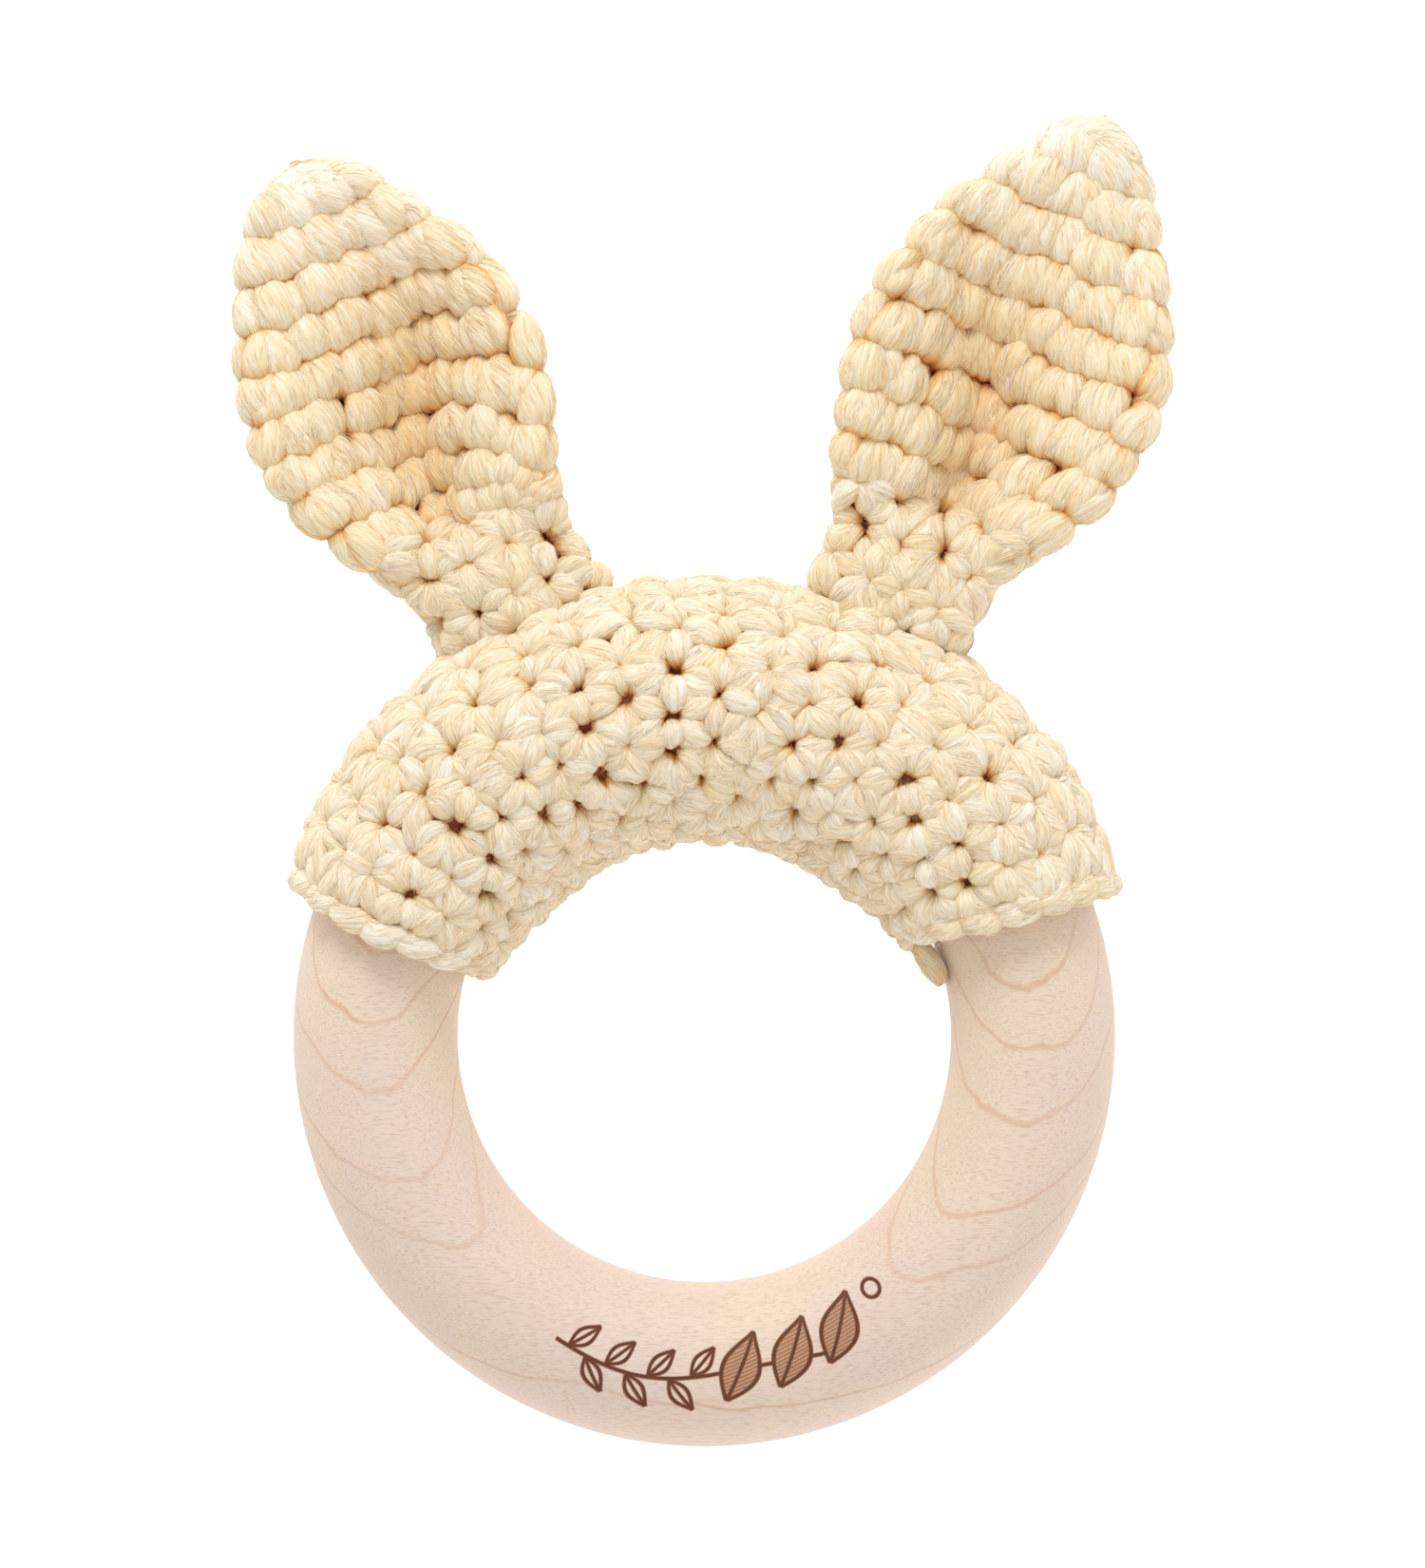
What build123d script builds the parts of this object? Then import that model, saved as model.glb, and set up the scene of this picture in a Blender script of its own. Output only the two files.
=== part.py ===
"""Teething ring: a turned wooden ring, a crochet cover sewn round its upper half, and two sewn-on ears.

The ring lies flat in the XY plane with its hole about Z and its centre at the origin. The cover and the
ears are on the +Y side, and +Z is the front, towards which the ears' rims curl. Sizes are in millimetres.
"""
import os
from math import cos, pi, radians, sin

from build123d import *

# Wooden ring
RING_OUTSIDE = 70.0                # outside diameter
RING_STOCK = 14.0                  # diameter of the ring's round section
RING_MID = (RING_OUTSIDE - RING_STOCK) / 2

# Crochet cover: a sleeve round the ring's section, from COVER_START to COVER_END anticlockwise from +X
COVER_START = 20.0
COVER_END = 163.0
COVER_SECTION = 10.75              # outside radius of the sleeve's section
COVER_GAP = 0.15                   # radial gap that lets the sleeve slide on the wood
COVER_BORE = RING_STOCK / 2 + COVER_GAP
COVER_LIP = 1.5                    # rounding of the sleeve's two end edges
COVER_ARC = COVER_END - COVER_START
CUT_START = COVER_START - 1.0      # cuts along the sleeve run a degree past both of its ends
CUT_ARC = COVER_ARC + 2.0

# Seam: the sleeve's long edges meet on the inner side of the ring and are sewn with short stitches
SEAM_ANGLE = 205.0                 # round the section, from the outward direction towards +Z
SEAM_GAP = 0.8
SEAM_STITCHES = 14
SEAM_YARN = 1.2                    # diameter of the sewing yarn
SEAM_STITCH_LENGTH = 4.4
SEAM_STITCH_DEPTH = 0.45           # how far a stitch's centre lies below the sleeve's surface
SEWING_FIT = 0.05                  # radial clearance of sewing yarn in its hole

# Fastened-off yarn end, which leaves the sleeve's end beside the seam
TAIL_YARN = 1.8
TAIL_SECTION_RADIUS = 8.9          # its distance from the middle of the ring's section
TAIL_INSIDE = 4.0                  # degrees inside the sleeve
TAIL_OUTSIDE = 10.0                # degrees in view
TAIL_CUT_ARC = COVER_START - CUT_START + TAIL_INSIDE + 0.2

# Ears: flattened crochet pockets, each hinged where it is sewn to the sleeve's outer edge
EAR_ROOT = 2.0                     # radius of the rolled root
EAR_ROOT_HALF_WIDTH = 7.6
EAR_CLEARANCE = 0.35               # between the rolled root and the sleeve
HINGE_RADIUS = RING_MID + COVER_SECTION + EAR_CLEARANCE + EAR_ROOT
EAR_BOW = 1.5                      # the ear's middle stands this far outward of a straight line

# Each ear: place round the ring, which way is outward, length from the hinge and sideways lean at the tip
LEFT_EAR = {"angle": 112.6, "outward": 1, "length": 41.4, "lean": 2.2}
RIGHT_EAR = {"angle": 66.4, "outward": -1, "length": 43.3, "lean": 0.0}

# Ear sections: share of the length, half width, half thickness, and how far the rims curl to the front
EAR_SECTIONS = [
    (0.01, 7.5, 1.8, 0.3),
    (0.14, 8.5, 2.3, 1.2),
    (0.30, 12.0, 2.7, 2.6),
    (0.46, 13.6, 2.8, 3.4),
    (0.64, 12.5, 2.8, 3.2),
    (0.80, 9.4, 2.6, 2.2),
    (0.92, 5.6, 2.2, 1.2),
    (0.98, 2.8, 1.5, 0.6),
    (1.00, 1.2, 0.8, 0.3),
]

# Sewing at an ear's root: a yarn that runs through the rolled root and down into the sleeve at both sides
EAR_YARN = 1.2
EAR_YARN_HALF_SPAN = EAR_ROOT_HALF_WIDTH + 1.0
EAR_YARN_BEND = 0.9
EAR_YARN_FOOT = 5.5                # how far the yarn's two feet reach from the hinge line towards the ring


def section_plane(angle):
    """Plane of the ring's round section at an angle: its x points outward and its y along +Z."""
    outward = Vector(cos(radians(angle)), sin(radians(angle)), 0)
    return Plane(origin=outward * RING_MID, x_dir=outward, z_dir=outward.cross(Vector(0, 0, 1)))


def outward_of(ear):
    """Direction from the ring's centre to an ear's hinge."""
    return Vector(cos(radians(ear["angle"])), sin(radians(ear["angle"])), 0)


def hinge_plane(ear):
    """Plane at the middle of an ear's hinge line: its normal runs along the hinge."""
    outward = outward_of(ear)
    return Plane(origin=outward * HINGE_RADIUS, x_dir=outward, z_dir=Vector(0, 0, 1).cross(outward))


def ear_station(ear, share):
    """Plane across an ear at a share of its length: its x runs across the ear and its y along +Z."""
    outward = outward_of(ear)
    across = Vector(0, 0, 1).cross(outward)
    sideways = ear["outward"] * (ear["lean"] * share + EAR_BOW * sin(pi * share))
    origin = outward * (HINGE_RADIUS + share * ear["length"]) + across * sideways
    return Plane(origin=origin, x_dir=across, z_dir=outward)


def seam_stitch_plane(index):
    """Plane at the middle of a seam stitch: its normal runs along the stitch, across the seam."""
    pitch = COVER_ARC / SEAM_STITCHES
    section = section_plane(COVER_START + pitch * (index + 0.5))
    lift = COVER_SECTION - SEAM_STITCH_DEPTH
    middle = section.from_local_coords(
        Vector(lift * cos(radians(SEAM_ANGLE)), lift * sin(radians(SEAM_ANGLE)), 0))
    outward = (middle - section.origin).normalized()
    return Plane(origin=middle, x_dir=outward, z_dir=outward.cross(section.z_dir))


os.makedirs("parts", exist_ok=True)

# Wooden ring: a plain turned torus
with BuildPart() as wooden_ring:
    with BuildSketch(section_plane(0)):
        Circle(RING_STOCK / 2)
    revolve(axis=Axis.Z)

# Crochet cover: the sleeve, its open seam, and the holes of the yarns that are sewn through it
with BuildPart() as crochet_cover:
    with BuildSketch(section_plane(COVER_START)):
        Circle(COVER_SECTION)
    revolve(axis=Axis.Z, revolution_arc=COVER_ARC)
    fillet(crochet_cover.edges().filter_by(GeomType.CIRCLE).sort_by(Edge.length)[:2], COVER_LIP)
    with BuildSketch(section_plane(CUT_START)):
        Circle(COVER_BORE)
    revolve(axis=Axis.Z, revolution_arc=CUT_ARC, mode=Mode.SUBTRACT)
    with BuildSketch(section_plane(CUT_START)):
        with Locations(Rotation(0, 0, SEAM_ANGLE)):
            with Locations((COVER_SECTION, 0)):
                Rectangle(COVER_SECTION, SEAM_GAP)
    revolve(axis=Axis.Z, revolution_arc=CUT_ARC, mode=Mode.SUBTRACT)
    for index in range(SEAM_STITCHES):
        with BuildSketch(seam_stitch_plane(index)):
            Circle(SEAM_YARN / 2 + SEWING_FIT)
        extrude(amount=SEAM_STITCH_LENGTH / 2 + SEWING_FIT, both=True, mode=Mode.SUBTRACT)
    with BuildSketch(section_plane(CUT_START)):
        with Locations((-TAIL_SECTION_RADIUS, 0)):
            Circle(TAIL_YARN / 2 + SEWING_FIT)
    revolve(axis=Axis.Z, revolution_arc=TAIL_CUT_ARC, mode=Mode.SUBTRACT)
    for ear in (LEFT_EAR, RIGHT_EAR):
        for side in (-1, 1):
            mouth = hinge_plane(ear).origin + hinge_plane(ear).z_dir * (side * EAR_YARN_HALF_SPAN)
            with BuildSketch(Plane(origin=mouth, z_dir=-outward_of(ear))):
                Circle(EAR_YARN / 2 + SEWING_FIT)
            extrude(amount=EAR_YARN_FOOT + SEWING_FIT, mode=Mode.SUBTRACT)

# Seam stitches: short lengths of yarn across the seam
with BuildPart() as cover_seam:
    for index in range(SEAM_STITCHES):
        with BuildSketch(seam_stitch_plane(index)):
            Circle(SEAM_YARN / 2)
        extrude(amount=SEAM_STITCH_LENGTH / 2, both=True)

# Yarn end: leaves the sleeve's end and lies along the wood
with BuildPart() as seam_tail:
    with BuildSketch(section_plane(COVER_START - TAIL_OUTSIDE)):
        with Locations((-TAIL_SECTION_RADIUS, 0)):
            Circle(TAIL_YARN / 2)
    revolve(axis=Axis.Z, revolution_arc=TAIL_INSIDE + TAIL_OUTSIDE)


def make_ear(ear):
    """An ear: a flat pocket with its rims curled forward, on a rolled root with a tunnel for the yarn."""
    with BuildPart() as part:
        for share, half_width, half_thickness, curl in EAR_SECTIONS:
            edge = half_width - half_thickness
            with BuildSketch(ear_station(ear, share)):
                with BuildLine():
                    front = ThreePointArc(
                        (-edge, curl + half_thickness), (0, half_thickness), (edge, curl + half_thickness))
                    back = ThreePointArc(
                        (-edge, curl - half_thickness), (0, -half_thickness), (edge, curl - half_thickness))
                    ThreePointArc(front @ 1, (half_width, curl), back @ 1)
                    ThreePointArc(front @ 0, (-half_width, curl), back @ 0)
                make_face()
        loft()
        with BuildSketch(hinge_plane(ear)):
            Circle(EAR_ROOT)
        extrude(amount=EAR_ROOT_HALF_WIDTH, both=True)
        with BuildSketch(hinge_plane(ear)):
            Circle(EAR_YARN / 2 + SEWING_FIT)
        extrude(amount=EAR_YARN_HALF_SPAN, both=True, mode=Mode.SUBTRACT)
    return part.part


def make_ear_stitching(ear):
    """The yarn that holds an ear: along the hinge line, and down into the sleeve beyond both sides."""
    hinge = hinge_plane(ear)
    along = hinge.z_dir * EAR_YARN_HALF_SPAN
    down = outward_of(ear) * -EAR_YARN_FOOT
    corners = [hinge.origin - along, hinge.origin + along]
    with BuildPart() as part:
        with BuildLine() as route:
            FilletPolyline(corners[0] + down, corners[0], corners[1], corners[1] + down, radius=EAR_YARN_BEND)
        with BuildSketch(Plane(origin=route.line @ 0, z_dir=route.line % 0)):
            Circle(EAR_YARN / 2)
        sweep()
    return part.part


pieces = {
    "wooden_ring": wooden_ring.part,
    "crochet_cover": crochet_cover.part,
    "cover_seam": cover_seam.part,
    "seam_tail": seam_tail.part,
    "left_ear": make_ear(LEFT_EAR),
    "right_ear": make_ear(RIGHT_EAR),
    "left_ear_stitching": make_ear_stitching(LEFT_EAR),
    "right_ear_stitching": make_ear_stitching(RIGHT_EAR),
}

for name, piece in pieces.items():
    piece.label = name
    export_step(piece, f"parts/{name}.step")
    size = piece.bounding_box().size
    print(f"{name}: {len(piece.solids())} solids, {piece.volume:.0f} mm3, "
          f"{size.X:.1f} x {size.Y:.1f} x {size.Z:.1f} mm")
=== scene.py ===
"""Looks of the teething ring: a maple ring, a crochet cover and two crochet ears, all in real yarn strands.

Lengths in this file are millimetres until a mesh is made, where MM turns them into Blender's metres.
Fabric is described in three coordinates: along a row of stitches, across the rows, and height over the
fabric's middle surface. A Surface object turns them into a place and a normal in the row frame.
"""
from math import cos, pi, radians, sin

import bpy
import numpy as np
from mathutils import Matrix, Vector


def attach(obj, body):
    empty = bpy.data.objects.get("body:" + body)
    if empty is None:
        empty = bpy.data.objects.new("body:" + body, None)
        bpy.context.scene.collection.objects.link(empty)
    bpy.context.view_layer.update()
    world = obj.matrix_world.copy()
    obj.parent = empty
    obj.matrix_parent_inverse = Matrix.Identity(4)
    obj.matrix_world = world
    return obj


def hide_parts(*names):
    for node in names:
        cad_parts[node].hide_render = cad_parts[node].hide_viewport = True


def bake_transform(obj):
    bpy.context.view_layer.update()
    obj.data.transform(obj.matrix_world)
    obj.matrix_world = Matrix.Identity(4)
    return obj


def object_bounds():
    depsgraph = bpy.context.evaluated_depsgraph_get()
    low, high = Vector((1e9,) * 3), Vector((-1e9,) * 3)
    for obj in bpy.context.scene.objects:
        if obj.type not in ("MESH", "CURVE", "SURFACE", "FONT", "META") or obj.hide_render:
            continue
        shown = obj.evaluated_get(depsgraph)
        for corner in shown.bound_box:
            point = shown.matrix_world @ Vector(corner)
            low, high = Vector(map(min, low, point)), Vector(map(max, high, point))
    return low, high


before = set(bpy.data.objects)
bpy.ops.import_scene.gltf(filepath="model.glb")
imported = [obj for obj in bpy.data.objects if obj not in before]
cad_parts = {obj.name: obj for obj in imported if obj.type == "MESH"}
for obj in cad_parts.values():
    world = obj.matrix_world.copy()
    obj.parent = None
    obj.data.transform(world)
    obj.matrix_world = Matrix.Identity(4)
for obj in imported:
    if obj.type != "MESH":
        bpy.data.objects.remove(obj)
cad_low, cad_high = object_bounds()

MM = 0.001
rng = np.random.default_rng(7)

# Wooden ring
RING_MID = 28.0
RING_SECTION = 7.0

# Crochet cover, as the CAD part places it
COVER_START = 20.0
COVER_END = 163.0
COVER_SECTION = 10.75
SEAM_ANGLE = 205.0

# Ears
HINGE_RADIUS = 41.1
SEAM_STITCHES = 14

# Each ear: direction of its axis, which side is the inner one (+1 is counterclockwise), where its tip is,
# and (distance from the hinge, value) points of its middle line and of its half width
LEFT_EAR = {
    "angle": 112.6, "inner": -1, "tip": 40.5, "tip_reach": 3.7, "droop": 0.032,
    "middle": [(-3, 0.3), (3, 1.4), (9, 3.1), (16, 3.3), (28, 3.1), (36, 3.8), (41, 3.7)],
    "half": [(-3, 8.0), (4, 8.2), (10, 10.9), (16, 13.1), (22, 13.3), (28, 11.4), (34, 8.5), (38, 5.4), (41, 1.2)],
}
RIGHT_EAR = {
    "angle": 66.4, "inner": 1, "tip": 43.8, "tip_reach": 3.3, "droop": 0.006,
    "middle": [(-3, 0.0), (6, -0.2), (14, -0.9), (24, -0.9), (34, -0.5), (40, -0.6), (45, 0.0)],
    "half": [(-3, 7.5), (4, 8.0), (10, 10.9), (16, 13.3), (22, 13.8), (28, 12.4), (34, 9.6), (40, 5.4), (44.5, 1.0)],
}

# Yarn and stitches
REACH = 1.35                     # how far strands stand over the fabric's middle surface
STITCH = 3.88                    # stitch pitch along a row of the cover, at its outer face
ROW = 3.75                       # row pitch of the cover
EAR_STITCH = 4.25
EAR_ROWS = 12
ROOT_ROWS = 3                    # of those, the rows at an ear's root
TWIST = -0.42                    # turn of the filaments along a strand, radians per mm
RINGS = 12                       # rings of vertices along a strand
SIDES = 16                       # vertices round a strand
FIBRE_RINGS = 4                  # rings of vertices along a fibre
# Fibres of a strand: how many, shortest and longest in rings, least and greatest lift in mm, and radius in mm
FIBRES = (
    (28, (1.6, 4.2), (0.00, 0.06), 0.042),
    (12, (1.5, 4.5), (0.10, 0.80), 0.018),
)


# ---------------------------------------------------------------- curves and meshes

def smooth_line(points, count):
    """Catmull-Rom curve through points (..., n, 3), resampled to count points on each line."""
    points = np.asarray(points, float)
    first = 2 * points[..., :1, :] - points[..., 1:2, :]
    last = 2 * points[..., -1:, :] - points[..., -2:-1, :]
    padded = np.concatenate([first, points, last], axis=-2)
    spans = points.shape[-2] - 1
    t = np.linspace(0, spans, count)
    k = np.minimum(t.astype(int), spans - 1)
    f = (t - k)[:, None]
    a, b, c, d = (padded[..., k + i, :] for i in range(4))
    return 0.5 * (2 * b + (c - a) * f + (2 * a - 5 * b + 4 * c - d) * f**2 + (3 * b - a - 3 * c + d) * f**3)


def profile(points):
    """A smooth function through a few (place, value) points."""
    table = smooth_line(np.array([(x, y, 0) for x, y in points]), 200)
    return lambda x: np.interp(x, table[:, 0], table[:, 1])


def unit(v):
    return v / np.maximum(np.linalg.norm(v, axis=-1, keepdims=True), 1e-9)


def smoothstep(low, high, x):
    t = np.clip((x - low) / (high - low), 0, 1)
    return t * t * (3 - 2 * t)


def make_mesh(name, vertices, quads, caps=(), attributes=None):
    """A smooth-shaded mesh object from arrays in millimetres. Caps are faces with more or fewer corners."""
    mesh = bpy.data.meshes.new(name)
    quads = np.asarray(quads, np.int32).reshape(-1, 4)
    corners = [quads.ravel()] + [np.asarray(c, np.int32).ravel() for c in caps]
    sizes = [np.full(len(quads), 4, np.int32)]
    for c in caps:
        c = np.asarray(c)
        sizes.append(np.full(c.shape[0], c.shape[1], np.int32))
    corners, sizes = np.concatenate(corners), np.concatenate(sizes)
    mesh.vertices.add(len(vertices))
    mesh.vertices.foreach_set("co", (np.asarray(vertices) * MM).astype(np.float32).ravel())
    mesh.loops.add(len(corners))
    mesh.loops.foreach_set("vertex_index", corners)
    mesh.polygons.add(len(sizes))
    mesh.polygons.foreach_set("loop_start", np.concatenate([[0], np.cumsum(sizes)[:-1]]).astype(np.int32))
    mesh.update(calc_edges=True)
    mesh.validate()
    mesh.polygons.foreach_set("use_smooth", np.ones(len(mesh.polygons), bool))
    for key, values in (attributes or {}).items():
        values = np.asarray(values, np.float32)
        if values.ndim == 2:
            mesh.attributes.new(key, "FLOAT_VECTOR", "POINT").data.foreach_set("vector", values.ravel())
        else:
            mesh.attributes.new(key, "FLOAT", "POINT").data.foreach_set("value", values)
    obj = bpy.data.objects.new(name, mesh)
    bpy.context.scene.collection.objects.link(obj)
    return obj


def tube_faces(count, rings, sides):
    """Quads and end caps of count tubes, each rings x sides vertices."""
    tube = np.arange(count)[:, None, None] * rings * sides
    k = np.arange(rings - 1)[None, :, None] * sides
    j = np.arange(sides)[None, None, :]
    n = (j + 1) % sides
    quads = np.stack([tube + k + j, tube + k + n, tube + k + sides + n, tube + k + sides + j], axis=-1)
    base = np.arange(count)[:, None] * rings * sides
    around = np.arange(sides)[None, :]
    start = base + around[:, ::-1]
    end = base + (rings - 1) * sides + around
    return quads.reshape(-1, 4), [start, end]


# ---------------------------------------------------------------- surfaces of fabric

class CoverSurface:
    """The sleeve: along is a share round the section from the seam, across a share from the right end."""

    END_TUCK = 0.9               # how much thinner the sleeve is at its two ends
    SWELL = 0.6                  # how much thicker it is between them

    def place(self, along, across, height):
        phi = radians(SEAM_ANGLE) - 2 * pi * along
        outer = np.cos(phi)
        start = COVER_START + 2.7 - 2.5 * outer + 1.8 * outer**2
        end = COVER_END - 1.6 - 1.5 * outer - 1.5 * outer**2
        theta = np.radians(start + (end - start) * across)
        from_end = RING_MID * np.radians(end - start) * np.minimum(across, 1 - across)
        section = COVER_SECTION - REACH + height
        section = section - self.END_TUCK * np.exp(-(np.maximum(from_end, 0) / 3.5) ** 2)
        section = section + self.SWELL * (1 - 0.35 * outer) * smoothstep(4, 14, from_end)
        outward = np.stack([np.cos(theta), np.sin(theta), np.zeros_like(theta)], -1)
        normal = outward * outer[..., None]
        normal[..., 2] += np.sin(phi)
        return outward * RING_MID + normal * section[..., None], normal

    def fold_shade(self, along, across):
        return np.zeros_like(along)


class EarSurface:
    """A flattened pocket: along is a share round it from its clockwise edge, across mm from the hinge to the tip."""

    THICKNESS = 1.35
    FOLD_PLACE = staticmethod(profile([(0, -0.4), (14, -0.2), (19, 1.2), (25, 3.8), (31, 5.0), (45, 5.0)]))
    FOLD_DEPTH = staticmethod(profile([(-3, -1.2), (3, -1.6), (6, 0.4), (9, 3.8), (14, 4.9), (20, 4.6), (27, 2.6),
                                       (34, 0.6), (40, 0), (45, 0)]))
    FOLD_WIDTH = staticmethod(profile([(-3, 5), (4, 4), (9, 3.0), (14, 4.0), (20, 5.4), (30, 6.2), (45, 6.2)]))
    RIM_LIFT = staticmethod(profile([(-3, -0.5), (4, 0.5), (9, 2.6), (18, 3.4), (26, 2.8), (34, 1.0), (41, 0), (45, 0)]))

    def __init__(self, ear):
        self.inner = ear["inner"]
        self.tip = ear["tip"]
        self.sag = ear["droop"]
        self.tip_reach = ear["tip_reach"]
        self.middle = profile(ear["middle"])
        self.half = profile(ear["half"])
        angle = radians(ear["angle"])
        self.outward = np.array([cos(angle), sin(angle), 0.0])
        self.sideways = np.array([-sin(angle), cos(angle), 0.0])

    def half_width(self, across):
        return np.maximum(self.half(across) - REACH, 0.3)

    def around(self, across):
        """Length round the pocket at its outer face."""
        half = self.half_width(across)
        thick = np.minimum(self.THICKNESS, half)
        return 4 * (half - thick) + 2 * pi * (thick + REACH)

    def lift(self, x, across, half):
        """Height of the pocket's middle surface: a fold down its front and rims curled to the front."""
        q = x * self.inner
        fold = self.FOLD_DEPTH(across) * np.exp(-((q - self.FOLD_PLACE(across)) / self.FOLD_WIDTH(across)) ** 2)
        rim = self.RIM_LIFT(across) * (np.abs(x) / (half + 0.8)) ** 2.2
        return rim - fold

    def section(self, along, across):
        """Sideways place of the middle surface and the normal's angle, for a pocket that is flat."""
        half = self.half_width(across)
        thick = np.minimum(self.THICKNESS, half)
        flat = half - thick
        run = (along % 1.0) * (4 * flat + 2 * pi * thick)
        front, cap = 2 * flat, pi * thick
        on_right = np.clip((run - front) / cap, 0, 1) * pi
        on_left = np.clip((run - 2 * front - cap) / cap, 0, 1) * pi
        x = np.where(run < front, -flat + run,
                     np.where(run < front + cap, flat,
                              np.where(run < 2 * front + cap, flat - (run - front - cap), -flat)))
        turn = pi / 2 - on_right - on_left
        return half, thick, x + thick * np.cos(turn), turn

    def droop(self, along, across):
        """How far rows sag towards the root beyond the fold, on the inner rim."""
        x = self.section(along, across)[2]
        beyond = np.maximum(x * self.inner - self.FOLD_PLACE(across) + 2.0, 0)
        return self.sag * beyond**2 * smoothstep(5, 14, across) * smoothstep(self.tip - 2, self.tip - 14, across)

    def fold_shade(self, along, across):
        """Strength of the painted shade in the fold: 1 at its bottom, 0 on flat fabric and on the back."""
        across = across - self.droop(along, across)
        half, _, x, turn = self.section(along, across)
        return smoothstep(0.8, -5.0, self.lift(x, across, half)) * (np.sin(turn) > 0)

    def place(self, along, across, height):
        across = across - self.droop(along, across)
        half, thick, x, turn = self.section(along, across)
        nx, nz = np.cos(turn), np.sin(turn)
        z = thick * nz + self.lift(x, across, half)
        slope = (self.lift(x + 0.1, across, half) - self.lift(x - 0.1, across, half)) / 0.2
        slope = np.clip(slope, -1.6, 1.6)
        nx = nx - slope * nz
        size = np.sqrt(nx * nx + nz * nz)
        nx, nz = nx / size, nz / size
        centre = self.outward * (HINGE_RADIUS + across)[..., None]
        normal = self.sideways * nx[..., None]
        normal[..., 2] += nz
        place = centre + self.sideways * (x + self.middle(across))[..., None] + normal * height[..., None]
        place[..., 2] += z
        return place, normal


    def tip_strands(self):
        """Short strands that close the pocket's tip, side by side from its back to its front."""
        lines = []
        for lift, drop in ((-0.9, 1.5), (0.0, 1.1), (0.9, 1.5)):
            across = self.tip - drop - np.array([1.3, 0.4, 0.0, 0.4, 1.3])
            x = self.middle(across) + self.tip_reach * np.array([-1.0, -0.55, 0.0, 0.55, 1.0])
            line = self.outward * (HINGE_RADIUS + across)[:, None] + self.sideways * x[:, None]
            line[:, 2] += lift
            lines.append(line)
        return lines


class Space:
    """Plain space: the three coordinates are x, y and z, and the normal points to the viewer."""

    def place(self, x, y, z):
        normal = np.zeros(x.shape + (3,))
        normal[..., 2] = 1
        return np.stack([x, y, z], -1), normal

    def fold_shade(self, along, across):
        return np.zeros_like(along)


# ---------------------------------------------------------------- strands of yarn

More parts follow.
